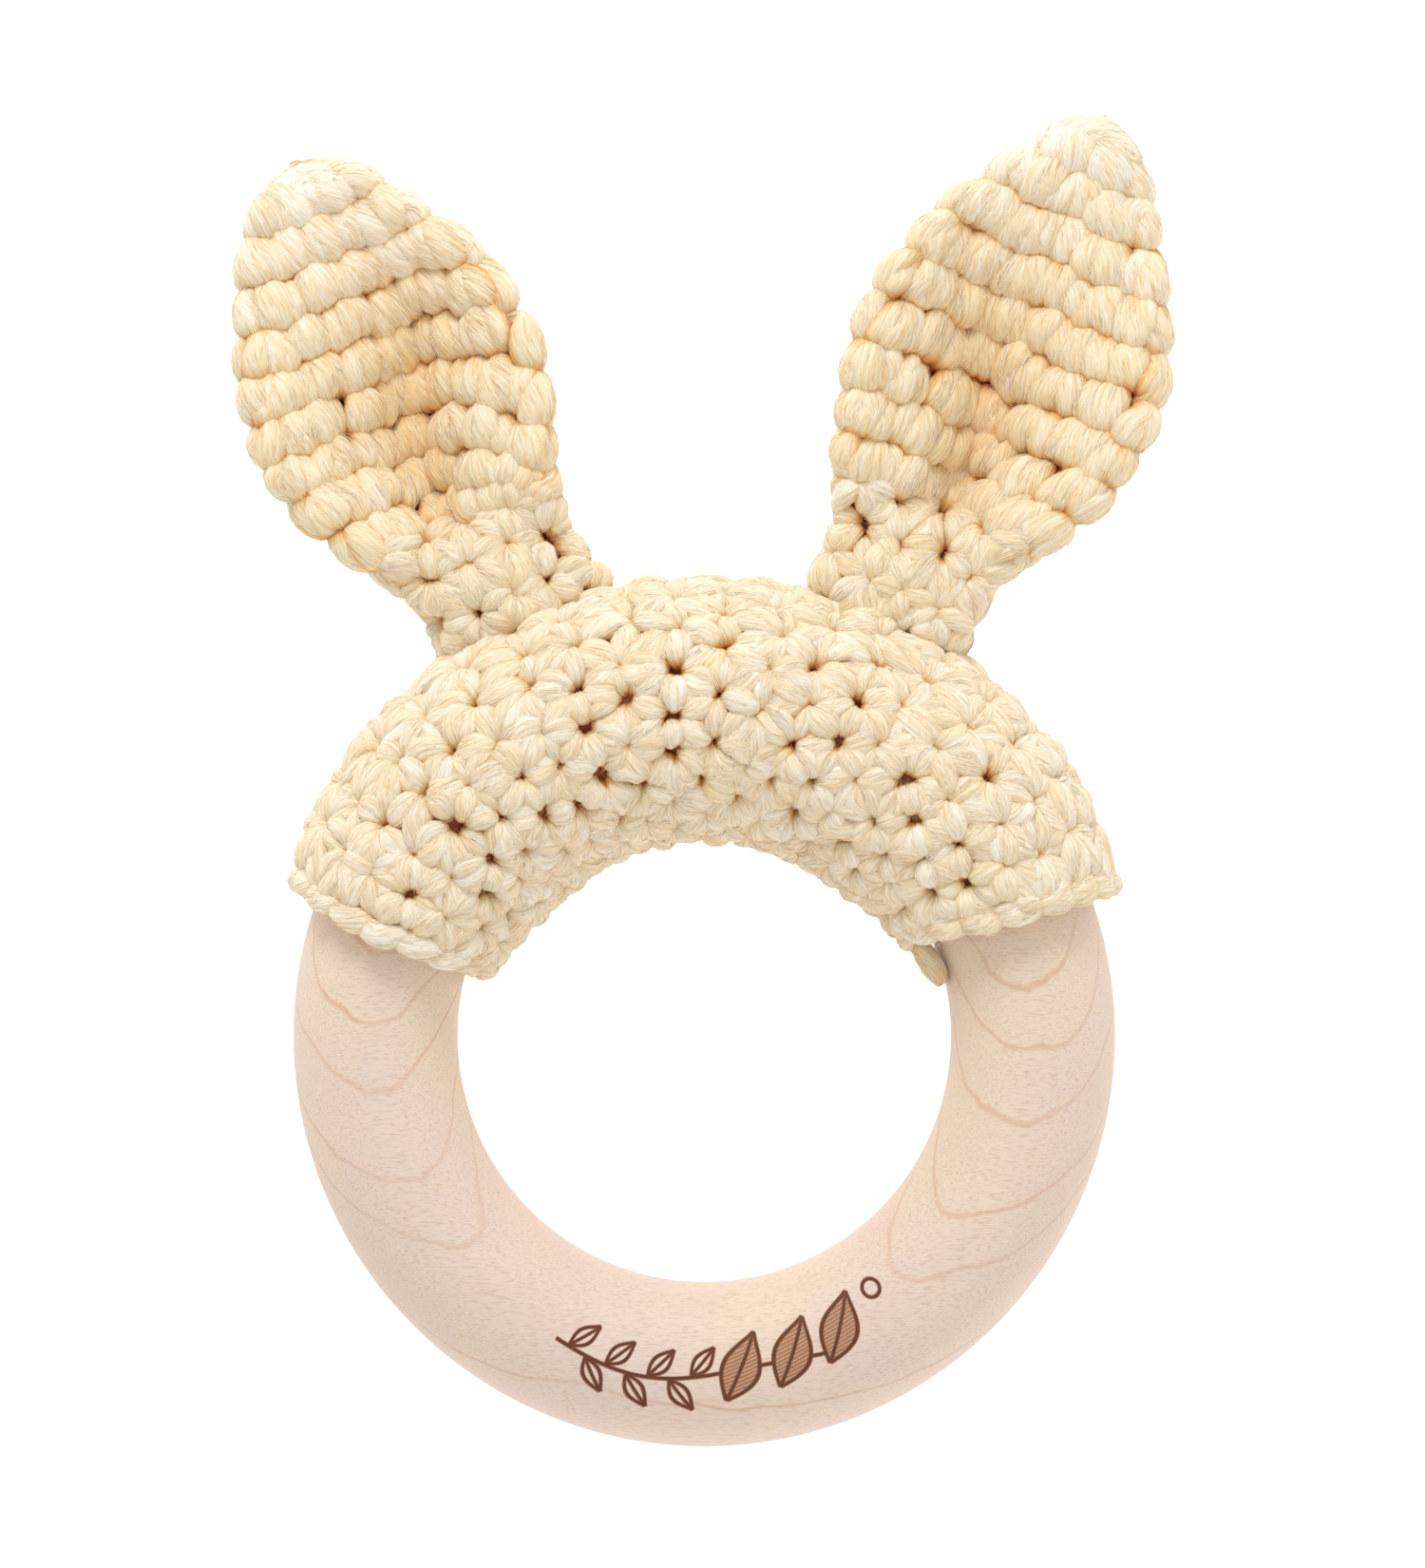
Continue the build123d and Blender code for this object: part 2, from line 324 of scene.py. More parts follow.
class Yarn:
    """Collects strands that lie on fabric surfaces, and makes one mesh of them with its loose fibres."""

    def __init__(self, name):
        self.name = name
        self.parts = []
        self.fibres = []
        self.count = 0

    def lay(self, surface, lines, radii, wide=1.0, tall=1.0, twist=TWIST, painted_shade_strength=1.0, pale=0.0, furry=1.0):
        """Lays one strand per line. lines is (n, points, 3) in surface coordinates, radii (points,) or (n, points).

        painted_shade_strength is how strongly low places get painted shade, pale from 0 to 0.4 how much paler the yarn
        is painted, partly the yarn's own paleness and partly painted light, and furry the share of the usual number of
        fibres.
        """
        lines = np.asarray(lines, float)
        n = len(lines)
        radii = np.broadcast_to(np.asarray(radii, float), lines.shape[:2])
        fine = smooth_line(lines, RINGS)
        size = smooth_line(np.repeat(radii[..., None], 3, -1), RINGS)[..., 0]
        centre, normal = surface.place(fine[..., 0], fine[..., 1], fine[..., 2])
        tangent = unit(np.gradient(centre, axis=1))
        side = unit(np.cross(tangent, normal))
        up = unit(np.cross(side, tangent))
        wide = np.broadcast_to(np.asarray(wide, float).reshape(-1, 1), (n, 1))
        length = np.concatenate([np.zeros((n, 1)), np.cumsum(
            np.linalg.norm(np.diff(centre, axis=1), axis=-1), axis=1)], axis=1)
        psi = np.linspace(0, 2 * pi, SIDES, endpoint=False)[None, None, :]
        mark = rng.uniform(0, 2 * pi, (n, 1, 4))
        lump = (1 + 0.05 * np.sin(2 * psi + mark[..., :1] + 0.9 * length[..., None])
                + 0.04 * np.sin(3 * psi + mark[..., 1:2] - 1.7 * length[..., None])
                + 0.03 * np.sin(5 * psi + mark[..., 2:3] + 2.6 * length[..., None]))
        r_side = (size * wide)[..., None] * lump
        r_up = (size * tall)[..., None] * lump
        across = r_side * np.cos(psi)
        above = r_up * np.sin(psi)
        vertices = centre[:, :, None] + side[:, :, None] * across[..., None] + up[:, :, None] * above[..., None]
        turned = psi + twist * length[..., None]
        identity = self.count + np.arange(n)[:, None, None]
        grain = np.stack([np.cos(turned), np.sin(turned),
                          0.10 * length[..., None] + 1.7 * identity + 0 * turned], axis=-1)
        depth = fine[..., 2][..., None] + above
        # each strand's random paleness, offset by pale: partly the yarn's own colour, partly painted light on the ear
        # tips and painted shade on lower rows
        tone_and_painted_light = np.broadcast_to(rng.uniform(0, 0.6, (n, 1, 1)) + pale, depth.shape)
        to_end = np.minimum(length, length[:, -1:] - length)[..., None]
        flank = (1 - np.clip(np.sin(psi), 0, 1)) ** 2
        # painted shade: darker and warmer where the strand lies low, on its lower flank and near its ends where it goes
        # into a hole
        painted_shade = np.clip(0.55 * smoothstep(1.20, -0.30, depth) + 0.05 * flank
                       + 0.50 * smoothstep(1.75, 0.55, to_end), 0, 1)
        # the painted shade is weaker where the fabric faces sideways rather than up
        facing = painted_shade_strength * (0.2 + 0.8 * smoothstep(0.2, 1.0, np.abs(normal[..., 2])))
        painted_shade = painted_shade * facing[..., None]
        fold_shade = np.broadcast_to(surface.fold_shade(fine[..., 0], fine[..., 1])[..., None], depth.shape)
        self.parts.append((vertices.reshape(-1, 3), grain.reshape(-1, 3), painted_shade.ravel(), tone_and_painted_light.ravel(), fold_shade.ravel()))
        self.count += n
        self._cover_with_fibres((centre, side, up, size * wide, size * tall, fine[..., 2], facing, length),
                                twist, furry)

    def _cover_with_fibres(self, strands, twist, furry):
        """Fine fibres that follow the strands' twist, some of them standing off as fuzz."""
        centre, side, up, r_side, r_up, height, facing, length = strands
        n = len(centre)
        steps = np.linspace(0, 1, FIBRE_RINGS)[None, :]
        for per_strand, reach, lift, radius in FIBRES:
            count = round(n * per_strand * furry)
            strand = rng.integers(0, n, count)[:, None]
            span = rng.uniform(*reach, (count, 1))
            first = rng.uniform(0.3, RINGS - 1.3 - span)
            place = first + span * steps
            k = place.astype(int)
            f = place - k

            def at(values):
                g = f if values.ndim == 2 else f[..., None]
                return values[strand, k] * (1 - g) + values[strand, k + 1] * g

            psi = rng.uniform(-0.12 * pi, 1.12 * pi, (count, 1)) - twist * (at(length) - length[strand, first.astype(int)])
            psi = psi + rng.normal(0, 0.16, (count, 1)) * steps
            off = 0.012 + rng.uniform(*lift, (count, 1)) * steps ** 1.5
            line = (at(centre) + at(side) * ((at(r_side) + off) * np.cos(psi))[..., None]
                    + at(up) * ((at(r_up) + off) * np.sin(psi))[..., None])
            depth = at(height) + at(r_up) * np.sin(psi)
            # painted shade on fibres that lie low
            painted_shade = 0.45 * at(facing) * smoothstep(1.20, -0.40, depth)
            width = radius * rng.uniform(0.7, 1.2, (count, 1)) * (1 - 0.6 * steps ** 2)
            self.fibres.append((line, width, painted_shade))

    def finish(self, material):
        """The mesh object of all strands and fibres."""
        vertices, grain, painted_shade, tone_and_painted_light, fold_shade = (np.concatenate([p[i] for p in self.parts]) for i in range(5))
        quads, caps = tube_faces(self.count, RINGS, SIDES)
        lines, width, fibre_painted_shade = (np.concatenate([part[i] for part in self.fibres]) for i in range(3))
        n, rings = lines.shape[:2]
        tangent = unit(np.gradient(lines, axis=1))
        helper = unit(np.cross(tangent, rng.normal(size=(n, 1, 3))))
        other = np.cross(tangent, helper)
        psi = np.linspace(0, 2 * pi, 3, endpoint=False)[None, None, :, None]
        ring = lines[:, :, None] + width[..., None, None] * (
            helper[:, :, None] * np.cos(psi) + other[:, :, None] * np.sin(psi))
        fibre_vertices = ring.reshape(-1, 3)
        fibre_quads, fibre_caps = tube_faces(n, rings, 3)
        offset = len(vertices)
        count = len(fibre_vertices)
        own = np.repeat(rng.uniform(0, 50, n), rings * 3)
        fibre_grain = np.stack([np.zeros(count), np.zeros(count), own], -1)
        # each fibre's random paleness; the palest are whitened as painted highlights
        fibre_tone_and_highlight = np.repeat(rng.uniform(0.3, 0.85, n), rings * 3)
        return self._dress(make_mesh(
            self.name, np.concatenate([vertices, fibre_vertices]),
            np.concatenate([quads, fibre_quads + offset]), caps + [c + offset for c in fibre_caps],
            {"grain": np.concatenate([grain, fibre_grain]),
             "painted_shade": np.concatenate([painted_shade, np.repeat(fibre_painted_shade.ravel(), 3)]),
             "tone_and_painted_light": np.concatenate([tone_and_painted_light, fibre_tone_and_highlight]),
             "fold_shade": np.concatenate([fold_shade, np.zeros(count)])}), material)

    @staticmethod
    def _dress(obj, material):
        obj.data.materials.append(material)
        return obj


# Strands of one ear stitch: (along, across) in pitches from the stitch's hole, and height in mm
EAR_LEGS = (
    [(-0.12, 0.00, -1.30), (-0.23, 0.18, -0.30), (-0.36, 0.50, 0.14), (-0.40, 0.82, -0.10), (-0.38, 1.02, -1.2)],
    [(0.00, 0.00, -1.40), (-0.02, 0.17, -0.14), (-0.04, 0.50, 0.36), (-0.06, 0.86, 0.04), (-0.08, 1.06, -1.2)],
    [(0.12, 0.00, -1.30), (0.18, 0.17, -0.22), (0.27, 0.50, 0.24), (0.28, 0.84, -0.04), (0.25, 1.04, -1.2)],
)
EAR_LEG_WIDTHS = (1.22, 1.40, 1.26)
EAR_LEG_RADII = [0.50, 0.98, 1.16, 1.08, 0.68]
LINK_RADII = [0.42, 0.92, 1.12, 0.92, 0.42]
EAR_SKEW = 0.26
CHAIN = [(-0.62, -0.10, -0.6), (-0.30, 0.02, 0.0), (0.12, 0.10, 0.1), (0.48, 0.10, -0.1), (0.66, 0.0, -0.9)]
CHAIN_RADII = [0.60, 1.05, 1.20, 1.05, 0.60]


def stitch_lines(template, centres, along_pitch, across_pitch, jitter):
    """Copies of a strand template at each (along, across) centre, each a little different."""
    template = np.asarray(template)
    n, k = len(centres), len(template)
    push = rng.normal(0, 1, (n, 1, 3)) * np.array([0.05, 0.05, 0.10]) * jitter
    wobble = rng.normal(0, 1, (n, k, 3)) * np.array([0.028, 0.028, 0.07]) * jitter
    shape = template[None] + push + wobble
    along = centres[:, 0, None] + shape[..., 0] * along_pitch
    across = centres[:, 1, None] + shape[..., 1] * across_pitch
    return np.stack([along, across, shape[..., 2]], -1)


def arcs(a, b, pitch, row, crown, bow):
    """Strands that rise out of one hole and dive into another. a and b are (n, 3): along, across, hole size."""
    n = len(a)
    step = b[:, :2] - a[:, :2]
    first, last = a[:, 2], 1 - b[:, 2]
    share = first[:, None] + (last - first)[:, None] * np.array([0, 0.17, 0.5, 0.83, 1])
    flat = a[:, None, :2] + step[:, None] * share[..., None]
    side = np.stack([-step[:, 1] / row * pitch, step[:, 0] / pitch * row], -1)
    bend = (bow + rng.normal(0, 0.06, n))[:, None, None] * np.array([0, 0.7, 1, 0.7, 0])[None, :, None]
    flat = flat + side[:, None] * bend + rng.normal(0, 0.02, (n, 5, 2)) * np.array([pitch, row])
    height = np.array([-1.25, -0.20, 0.0, -0.20, -1.25])[None] + crown * np.array([0, 0.8, 1, 0.8, 0])[None]
    height = height + rng.normal(0, 0.12, (n, 1)) + rng.normal(0, 0.05, (n, 5))
    return np.concatenate([flat, height[..., None]], -1)


# ---------------------------------------------------------------- materials

def new_material(name):
    material = bpy.data.materials.new(name)
    material.use_nodes = True
    tree = material.node_tree
    return material, tree, tree.nodes["Principled BSDF"]


def node(tree, kind, inputs=None, **settings):
    """A node with its settings, and its inputs set to values or linked to sockets."""
    made = tree.nodes.new(kind)
    for key, value in settings.items():
        setattr(made, key, value)
    for key, value in (inputs or {}).items():
        if isinstance(value, bpy.types.NodeSocket):
            tree.links.new(value, made.inputs[key])
        else:
            made.inputs[key].default_value = value
    return made


def ramp(tree, factor, stops):
    made = tree.nodes.new("ShaderNodeValToRGB")
    tree.links.new(factor, made.inputs[0])
    elements = made.color_ramp.elements
    while len(elements) < len(stops):
        elements.new(0.5)
    for element, (place, colour) in zip(elements, stops):
        element.position = place
        element.color = (*colour, 1)
    return made.outputs["Color"]


def mix_colour(tree, factor, a, b, blend="MIX"):
    made = node(tree, "ShaderNodeMix", data_type="RGBA", blend_type=blend)
    for index, value in ((0, factor), (6, a), (7, b)):
        if isinstance(value, bpy.types.NodeSocket):
            tree.links.new(value, made.inputs[index])
        elif index == 0:
            made.inputs[index].default_value = value
        else:
            made.inputs[index].default_value = (*value, 1)
    return made.outputs[2]


def yarn_material():
    """Cream cotton yarn with fine filaments along each strand, and painted shade that makes it warmer and darker where
    a strand dives, near its ends and in an ear's fold; painted light whitens the pale ear tips.
    """
    material, tree, shader = new_material("cream_yarn")
    grain = node(tree, "ShaderNodeAttribute", attribute_name="grain").outputs["Vector"]
    painted_shade = node(tree, "ShaderNodeAttribute", attribute_name="painted_shade").outputs["Fac"]
    tone_and_painted_light = node(tree, "ShaderNodeAttribute", attribute_name="tone_and_painted_light").outputs["Fac"]
    fold_shade = node(tree, "ShaderNodeAttribute", attribute_name="fold_shade").outputs["Fac"]
    plies = node(tree, "ShaderNodeTexNoise", {"Vector": grain, "Scale": 1.8, "Detail": 0.0})
    filaments = node(tree, "ShaderNodeTexNoise", {"Vector": grain, "Scale": 5.6, "Detail": 3.0, "Roughness": 0.65})
    body = ramp(tree, filaments.outputs["Fac"], [
        (0.27, (0.80, 0.53, 0.26)), (0.39, (0.91, 0.72, 0.47)), (0.52, (0.95, 0.84, 0.64)), (0.68, (0.99, 0.95, 0.85))])
    # darker or whitened by the strand's paleness: partly random, partly painted light on the ear tips and painted shade
    # on lower ear rows and the tail
    shade = ramp(tree, tone_and_painted_light, [(0.0, (0.97, 0.92, 0.81)), (0.6, (1.0, 1.0, 1.0))])
    body = mix_colour(tree, 1.0, body, shade, "MULTIPLY")
    painted_light_whitening = ramp(tree, tone_and_painted_light, [(0.5, (0, 0, 0)), (1.0, (0.6, 0.6, 0.6))])
    body = mix_colour(tree, painted_light_whitening, body, (1.0, 0.97, 0.91))
    # painted shade: warm orange-brown where strands lie low, near their ends and on their flanks
    dive = ramp(tree, painted_shade, [(0.0, (1, 1, 1)), (0.10, (0.98, 0.95, 0.88)), (0.34, (0.92, 0.71, 0.44)),
                             (0.68, (0.85, 0.47, 0.22)), (1.0, (0.62, 0.24, 0.09))])
    colour = mix_colour(tree, 1.0, body, dive, "MULTIPLY")
    # painted shade down the bottom of an ear's fold
    fold = mix_colour(tree, fold_shade, (1.0, 1.0, 1.0), (0.95, 0.84, 0.68))
    colour = mix_colour(tree, 1.0, colour, fold, "MULTIPLY")
    tree.links.new(colour, shader.inputs["Base Color"])
    coarse = node(tree, "ShaderNodeMath", {0: plies.outputs["Fac"], 1: 0.8}, operation="MULTIPLY")
    together = node(tree, "ShaderNodeMath", {0: filaments.outputs["Fac"], 1: coarse.outputs[0]}, operation="ADD")
    bump = node(tree, "ShaderNodeBump", {"Height": together.outputs[0], "Strength": 1.0, "Distance": 0.26 * MM})
    tree.links.new(bump.outputs["Normal"], shader.inputs["Normal"])
    shader.inputs["Roughness"].default_value = 0.75
    shader.inputs["Sheen Weight"].default_value = 0.08
    shader.inputs["Sheen Roughness"].default_value = 0.5
    shader.inputs["Sheen Tint"].default_value = (1.0, 0.90, 0.75, 1)
    shader.inputs["Specular IOR Level"].default_value = 0.18
    return material


def shade_sheet_material():
    """Painted shade: the inner face of the fabric in dark red-brown, seen only through the holes between stitches."""
    material, tree, shader = new_material("painted_shade_sheet")
    where = node(tree, "ShaderNodeTexCoord").outputs["Object"]
    noise = node(tree, "ShaderNodeTexNoise", {"Vector": where, "Scale": 260.0, "Detail": 3.0})
    # dark red-brown to orange: painted shade for the pits between stitches
    colour = ramp(tree, noise.outputs["Fac"], [(0.40, (0.26, 0.07, 0.03)), (0.52, (0.52, 0.21, 0.09)),
                                               (0.64, (0.75, 0.42, 0.20))])
    tree.links.new(colour, shader.inputs["Base Color"])
    shader.inputs["Roughness"].default_value = 0.95
    return material


# ---------------------------------------------------------------- crochet pieces

def row_centres(count, across, start):
    """Stitch centres of one row: count stitches spread evenly round, at one place across."""
    along = (np.arange(count) + start) / count
    return np.stack([along, np.full(count, across)], -1)


def lattice(yarn, surface, count, places, shift, pale=0.0, painted_shade_strengths=(1.2, 1.2), openness=np.ones_like, jitter=0.11):
    """Holes in a staggered lattice, and plump strands that run from each hole to its neighbours.

    painted_shade_strengths are how strongly strands get painted shade in the middle row and in the first and last ones,
    and openness gives the share of the usual hole size by the place along a row.
    """
    pitch, row = 1.0 / count, places[1] - places[0]
    holes = []
    for j, place in enumerate(places):
        centres = row_centres(count, place, 0.25 + shift + 0.5 * (j % 2) + 0.06 * sin(2.1 * j))
        centres += rng.normal(0, jitter, centres.shape) * np.array([pitch, row])
        size = rng.choice([0.23, 0.14, 0.04], count, p=[0.28, 0.34, 0.38]) * openness(centres[:, 0])
        holes.append(np.column_stack([centres, size]))
    for j in range(len(places) - 1):
        proud = j % 2 == 0
        painted_shade_strength = painted_shade_strengths[0] + (painted_shade_strengths[1] - painted_shade_strengths[0]) * (2 * j / (len(places) - 2) - 1) ** 2
        here = holes[j]
        # the next row's holes lie half a stitch either way
        after = holes[j + 1] if j % 2 == 0 else around_once(holes[j + 1], -1)
        before = around_once(after, 1)
        beside = around_once(here, -1)
        for there, crown, share in ((after, 0.50, 1.0), (before, 0.42, 0.96), (beside, 0.30, 0.92)):
            for bow in (-0.11, 0.11):
                lines = arcs(here, there, pitch, row, crown + (0.08 if proud else -0.06), bow)
                yarn.lay(surface, lines, LINK_RADII, wide=rng.normal(share, 0.09, count), tall=0.85,
                         twist=0.7 * TWIST, painted_shade_strength=painted_shade_strength, pale=pale, furry=0.65)


def around_once(centres, step):
    """The neighbours one stitch on (step -1) or back (step 1) in a row that closes on itself."""
    moved = np.roll(centres, step, axis=0)
    if step < 0:
        moved[-1, 0] += 1.0
    else:
        moved[0, 0] -= 1.0
    return moved


def make_cover(material):
    """The sleeve: rows of stitches that run round the section, and a chain along each end."""
    surface, yarn = CoverSurface(), Yarn("cover_crochet")
    rows = round(RING_MID * radians(COVER_END - COVER_START) / ROW)
    count = round(2 * pi * (COVER_SECTION - 0.3) / STITCH)
    # painted shade strongest on the middle rows, weaker towards the sleeve's two ends
    lattice(yarn, surface, count, np.linspace(0, 1, rows + 1), 0.0, pale=0.06, painted_shade_strengths=(1.45, 0.65),
            openness=lambda along: 1 - 0.8 * np.exp(-((along % 1 - 0.46) / 0.085) ** 2))
    for across, flip in ((1.0, 1), (0.0, -1)):
        template = [(x, y * flip, z) for x, y, z in CHAIN]
        lines = stitch_lines(template, row_centres(count, across, 0.5), 1.0 / count, 1.0 / rows, 0.7)
        yarn.lay(surface, lines, CHAIN_RADII, painted_shade_strength=0.2, pale=0.10)
    return yarn.finish(material)


def make_ear(name, ear, material):
    """An ear: rounds of stitches from the tip down, all with their front outward, and a looser worked root."""
    surface, yarn = EarSurface(ear), Yarn(name)
    row = (surface.tip - 1.0 + 3.7) / EAR_ROWS
    start = 0.0
    for j in range(EAR_ROWS - ROOT_ROWS):
        top = surface.tip - 1.0 - j * row
        around = float(surface.around(np.array(top - row / 2)))
        count = max(6, round(around / EAR_STITCH))
        start += EAR_SKEW
        centres = row_centres(count, top, start)
        centres += rng.normal(0, 0.05, centres.shape) * np.array([1.0 / count, row])
        plump = around / count / EAR_STITCH
        for leg, share in zip(EAR_LEGS, EAR_LEG_WIDTHS):
            template = [(x + EAR_SKEW * y, y, z) for x, y, z in leg]
            if j == 0:
                template[0] = (template[0][0], -0.20, -0.5)
            lines = stitch_lines(template, centres, 1.0 / count, -row, 1.0)
            # painted light and shade: tip rows are painted pale with little shade, lower rows darker and more deeply
            # shaded in paint
            yarn.lay(surface, lines, EAR_LEG_RADII, wide=rng.normal(plump * share, 0.08, count), tall=1.05,
                     painted_shade_strength=min(1.25, 0.35 + 0.25 * j), pale=max(-0.32, 0.36 - 0.17 * j))
    # painted light: the strands closing the tip are painted pale with little shade
    yarn.lay(Space(), surface.tip_strands(), [0.90, 1.22, 1.30, 1.22, 0.90], wide=1.2, painted_shade_strength=0.1, pale=0.36)
    top = surface.tip - 1.0 - (EAR_ROWS - ROOT_ROWS) * row
    count = round(float(surface.around(np.array(4.0))) / EAR_STITCH)
    lattice(yarn, surface, count, top - row * np.arange(ROOT_ROWS + 1), 0.3)
    return yarn.finish(material)


def make_ear_stitching(name, ear, material):
    """Short stitches that sew an ear's root to the sleeve, all round the root."""
    surface, yarn = EarSurface(ear), Yarn(name)
    count = 10
    template = [(-0.10, -0.2, -0.7), (-0.02, 0.25, 0.35), (0.05, 0.60, 0.45), (0.14, 1.0, -0.6)]
    lines = stitch_lines(template, row_centres(count, -0.6, 0.2), 1.0 / count, -2.6, 0.8)
    yarn.lay(surface, lines, [0.50, 0.72, 0.72, 0.50])
    return yarn.finish(material)


def make_seam(material):
    """Whip stitches that close the sleeve's long edges on the inner side of the ring."""
    surface, yarn = CoverSurface(), Yarn("seam_yarn")
    step = 1.0 / SEAM_STITCHES
    centres = np.stack([np.zeros(SEAM_STITCHES), (np.arange(SEAM_STITCHES) + 0.5) * step], -1)
    template = [(-0.62, -0.22, -0.5), (-0.35, -0.12, 0.75), (0.0, 0.0, 1.0), (0.35, 0.12, 0.75), (0.62, 0.22, -0.5)]
    yarn.lay(surface, stitch_lines(template, centres, 0.058, step, 0.6), [0.50, 0.68, 0.72, 0.68, 0.50])
    return yarn.finish(material)


def make_tail(material):
    """The fastened-off end: two strands that hang from the sleeve's right end beside the wood."""
    yarn = Yarn("tail_yarn")
    lines = []
    for k in range(2):
        lines.append([on_ring(23.5, 19.6 + 0.3 * k, 1.2 + k), on_ring(19.0 - k, 19.9 + 0.5 * k, 1.6 + 0.9 * k),
                      on_ring(15.2 - k, 20.2 + 0.4 * k, 1.8 + 0.9 * k), on_ring(12.4 + 1.2 * k, 20.6, 1.4 + 0.8 * k)])
    # the tail is painted darker, as painted shade
    yarn.lay(Space(), lines, [0.70, 0.78, 0.70, 0.40], painted_shade_strength=0.4, pale=-0.3)
    return yarn.finish(material)


def on_ring(angle, radius, height):
    """A point by its angle round the ring in degrees, its distance from the ring's axis and its height."""
    return [radius * cos(radians(angle)), radius * sin(radians(angle)), height]


def make_cover_ground(material):
    """The inner face of the sleeve, dressed in painted shade: a thin closed shell under the stitches, open along the
    seam.
    """
    surface = CoverSurface()
    along = np.linspace(0.006, 0.994, 72)
    across = np.linspace(0.006, 0.994, 100)
    grid_along, grid_across = np.meshgrid(along, across, indexing="ij")
    outer, _ = surface.place(grid_along, grid_across, np.full(grid_along.shape, -0.65))
    inner, _ = surface.place(grid_along, grid_across, np.full(grid_along.shape, -1.25))
    return closed_shell("cover_ground", outer, inner, material)


def closed_shell(name, outer, inner, material):
    """A thin closed mesh between two grids of the same size."""
    n, m = outer.shape[:2]
    index = np.arange(n * m).reshape(n, m)
    lower = index + n * m

    def sheet(i):
        return np.stack([i[:-1, :-1], i[1:, :-1], i[1:, 1:], i[:-1, 1:]], -1).reshape(-1, 4)

    def rim(a, b):
        return np.stack([a[:-1], a[1:], b[1:], b[:-1]], -1)

    quads = np.concatenate([
        sheet(index)[:, ::-1], sheet(lower), rim(index[0], lower[0]), rim(lower[-1], index[-1]),
        rim(lower[:, 0], index[:, 0]), rim(index[:, -1], lower[:, -1])])
    obj = make_mesh(name, np.concatenate([outer.reshape(-1, 3), inner.reshape(-1, 3)]), quads)
    obj.data.materials.append(material)
    return obj


def make_ear_ground(name, ear, material):
    """The inner face of an ear's pocket, a closed bag just under the stitches, dressed in painted shade."""
    surface = EarSurface(ear)
    along = np.linspace(0, 1, 60, endpoint=False)
    across = np.linspace(-2.6, surface.tip - 4.5, 60)
    grid_across, grid_along = np.meshgrid(across, along, indexing="ij")
    place, _ = surface.place(grid_along, grid_across, np.full(grid_along.shape, -0.85))
    quads, caps = tube_faces(1, 60, 60)
    obj = make_mesh(name, place.reshape(-1, 3), quads, caps)
    obj.data.materials.append(material)
    return obj


# ---------------------------------------------------------------- wooden ring

MARK_RADIUS = 28.3               # middle line of the burnt-in sprig
MARK_DEPTH = 0.12
THIN_LEAVES = [(-11.6, 1), (-10.0, -1), (-8.2, 1), (-6.4, -1), (-4.6, 1), (-2.8, -1), (-1.0, 1)]
BOLD_LEAVES = [(3.2, 0.3, 62), (7.8, 0.7, 57), (12.4, 1.3, 52)]


def leaf_masks(a, b, centre, lean, length, width, line):
    """Outline and inside of a pointed leaf, as masks over the places (a, b)."""
    lean = radians(lean)
    p = (a - centre[0]) * cos(lean) + (b - centre[1]) * sin(lean)
    q = -(a - centre[0]) * sin(lean) + (b - centre[1]) * cos(lean)
    t = 2 * p / length
    edge = 0.5 * width * np.clip(1 - t**2, 0, 1) * (1 - 0.35 * t**2) * (1 - 0.20 * t)
    within = np.abs(p) < length / 2
    outline = within * smoothstep(line, line * 0.6, np.abs(np.abs(q) - edge))
    rib = within * smoothstep(line * 0.9, line * 0.5, np.abs(q))
    inside = within * (np.abs(q) < edge)
    return np.maximum(outline, rib), inside, p, q


def sprig(a, b):
    """A burnt-in leafy sprig: a is mm along its middle line, b mm towards the ring's centre."""
    stem = smoothstep(0.22, 0.12, np.abs(b + 0.3 - 0.5 * np.sin(a / 3.4))) * ((a > -13.0) & (a < 11.0))
    mask = stem
    for place, side in THIN_LEAVES:
        base = -0.3 + 0.5 * sin(place / 3.4)
        centre = (place + 0.9, base + side * 1.35)
        outline, _, _, _ = leaf_masks(a, b, centre, side * 50, 3.2, 1.35, 0.20)
        mask = np.maximum(mask, outline)
    for place, height, lean in BOLD_LEAVES:
        outline, inside, p, q = leaf_masks(a, b, (place, height), lean, 6.4, 3.1, 0.24)
        hatch = 0.42 + 0.22 * np.sin(2 * pi * (p + q) / 0.42)
        mask = np.where(inside, np.maximum(hatch, outline), np.maximum(mask, outline))
    berry = np.hypot(a - 16.6, b - 2.9)
    return np.maximum(mask, smoothstep(0.20, 0.12, np.abs(berry - 0.8)))


def spread(stops):
    """Angles in degrees from (start, step) stops, the last stop closing the run."""
    runs = [np.arange(start, end, step) for (start, step), (end, _) in zip(stops, stops[1:])]
    return np.radians(np.concatenate(runs))


